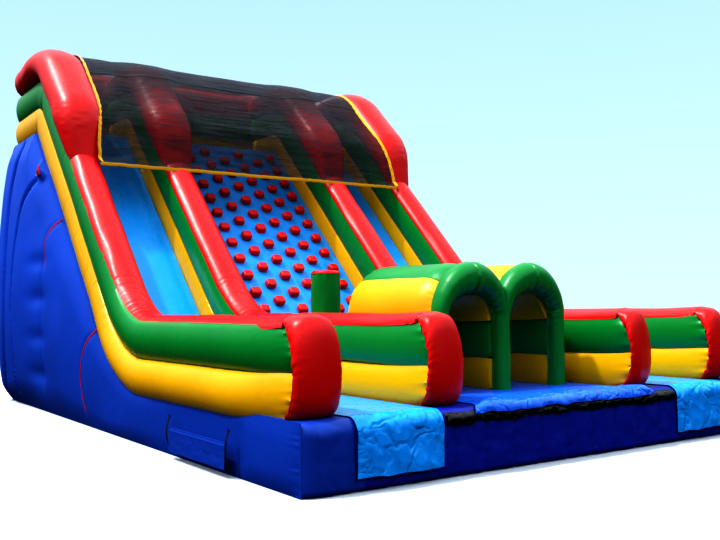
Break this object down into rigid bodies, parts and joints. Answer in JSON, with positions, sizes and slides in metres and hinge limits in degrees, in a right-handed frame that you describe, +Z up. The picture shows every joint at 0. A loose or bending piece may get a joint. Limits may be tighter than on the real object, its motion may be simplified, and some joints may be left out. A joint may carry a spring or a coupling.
{
  "type": "inflatable slide",
  "caption": "Inflatable slide with a lane on each side of a climbing wall, crawl tunnels, a pop-up column and a mesh canopy over the platform.",
  "frame": {"origin": "on the ground, under the middle of the whole slide's length and width", "axes": "+Z up; riders come out towards -Y and climb towards +Y; +X runs across the lanes, to the right as seen from the front of the run-out"},
  "size_m": [6.7732, 11.109, 6.0383],
  "materials": {
    "red_vinyl": "glossy PVC-coated fabric, red",
    "green_vinyl": "glossy PVC-coated fabric, green",
    "yellow_vinyl": "glossy PVC-coated fabric, yellow",
    "blue_vinyl": "glossy PVC-coated fabric, royal blue",
    "liner_vinyl": "glossy PVC sheet, light blue, creased",
    "black_webbing": "woven polyester webbing, black",
    "mesh_fabric": "knitted safety mesh, dark, see-through",
    "zinc_steel": "zinc-plated steel"
  },
  "bodies": {
    "slide": {"anchor_patch_left": "red_vinyl", "anchor_patch_right": "red_vinyl", "base_platform": "blue_vinyl", "canopy_binding_left": "yellow_vinyl", "canopy_binding_right": "yellow_vinyl", "canopy_hem": "yellow_vinyl", "canopy_mesh": "mesh_fabric", "carry_strap_front": "black_webbing", "carry_strap_rear": "black_webbing", "climbing_wall": "blue_vinyl", "edge_strip": "black_webbing", "flap_keeper": "blue_vinyl", "hood_1": "red_vinyl", "hood_2": "red_vinyl", "hood_3": "red_vinyl", "hood_4": "red_vinyl", "inlet_sleeve_left": "blue_vinyl", "inlet_sleeve_right": "blue_vinyl", "landing_mat": "blue_vinyl", "lane_bed_left": "blue_vinyl", "lane_bed_right": "blue_vinyl", "lane_liner_left": "liner_vinyl", "lane_liner_right": "liner_vinyl", "rear_panel": "blue_vinyl", "rear_tube_green": "green_vinyl", "rear_tube_red": "red_vinyl", "rear_tube_yellow": "yellow_vinyl", "side_panel_left": "blue_vinyl", "side_panel_right": "blue_vinyl", "tower_core": "blue_vinyl", "tunnel_arches": "green_vinyl", "tunnel_haunch_left": "yellow_vinyl", "tunnel_haunch_middle": "yellow_vinyl", "tunnel_roof_left": "green_vinyl", "tunnel_roof_right": "yellow_vinyl", "tunnel_wall_left_lower": "yellow_vinyl", "tunnel_wall_left_upper": "green_vinyl", "tunnel_wall_middle_lower": "yellow_vinyl", "tunnel_wall_middle_upper": "green_vinyl", "tunnel_wall_right_lower": "yellow_vinyl", "tunnel_wall_right_upper": "green_vinyl", "wall_1_cap": "red_vinyl", "wall_1_green": "green_vinyl", "wall_1_yellow": "yellow_vinyl", "wall_2_cap": "red_vinyl", "wall_2_green": "green_vinyl", "wall_2_yellow": "yellow_vinyl", "wall_3_cap": "red_vinyl", "wall_3_green": "green_vinyl", "wall_3_yellow": "yellow_vinyl", "wall_4_cap": "red_vinyl", "wall_4_green": "green_vinyl", "wall_4_yellow": "yellow_vinyl", "zip_tape": "black_webbing"},
    "popup": {"popup_column": "green_vinyl", "popup_cap": "red_vinyl"},
    "ring_left": {"anchor_ring_left": "zinc_steel"},
    "ring_right": {"anchor_ring_right": "zinc_steel"},
    "zip_pull": {"zip_slider": "zinc_steel"},
    "rain_flap": {"zip_flap": "blue_vinyl"}
  },
  "joints": [
    {"name": "popup_sway", "type": "hinge", "parent": "slide", "child": "popup", "pos_m": [-0.84, -2.06615, 0.8586], "axis": [1, 0, 0], "range_deg": [-20, 20], "stiffness_Nm_per_rad": 150},
    {"name": "ring_left_swing", "type": "hinge", "parent": "slide", "child": "ring_left", "pos_m": [-3.3776, 2.65385, 3.868], "axis": [0, 1, 0], "range_deg": [0, 150]},
    {"name": "ring_right_swing", "type": "hinge", "parent": "slide", "child": "ring_right", "pos_m": [3.3776, 2.65385, 3.868], "axis": [0, -1, 0], "range_deg": [0, 150]},
    {"name": "zip_slide", "type": "slide", "parent": "slide", "child": "zip_pull", "axis": [0, 1, 0], "range_m": [0, 1.25]},
    {"name": "zip_flap_hinge", "type": "hinge", "parent": "slide", "child": "rain_flap", "pos_m": [-3.3696, -4.24615, 0.32], "axis": [0, 1, 0], "range_deg": [0, 150]}
  ]
}
